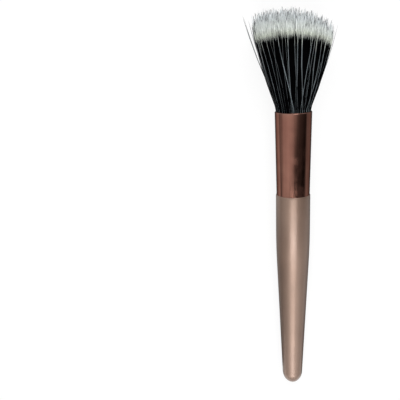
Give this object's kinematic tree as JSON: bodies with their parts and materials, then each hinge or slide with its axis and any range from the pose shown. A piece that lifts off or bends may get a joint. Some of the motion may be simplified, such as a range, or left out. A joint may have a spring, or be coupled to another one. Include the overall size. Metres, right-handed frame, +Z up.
{
  "type": "stippling brush",
  "caption": "Round makeup brush for stippling: tapered turned handle, thin metal ferrule, and a fanned head of short dark hair with longer pale fibres standing beyond it.",
  "frame": {"origin": "on the table top, under the middle of the box round the brush as it lies", "axes": "+Y runs from the handle's end to the head, level with the table, +Z is up, and +X is to the right of someone who looks down on the brush with its head pointing away"},
  "size_m": [0.0402, 0.1823, 0.0364],
  "materials": {
    "lacquered_handle": "satin",
    "anodised_ferrule": "satin",
    "glue": "gloss",
    "dark_hair": "satin",
    "pale_fibre": "satin"
  },
  "bodies": {
    "root": {"handle": "lacquered_handle", "ferrule": "anodised_ferrule", "glue_plug": "glue", "dark_hair": "dark_hair", "pale_tips": "pale_fibre", "pale_strands": "pale_fibre"}
  },
  "joints": []
}
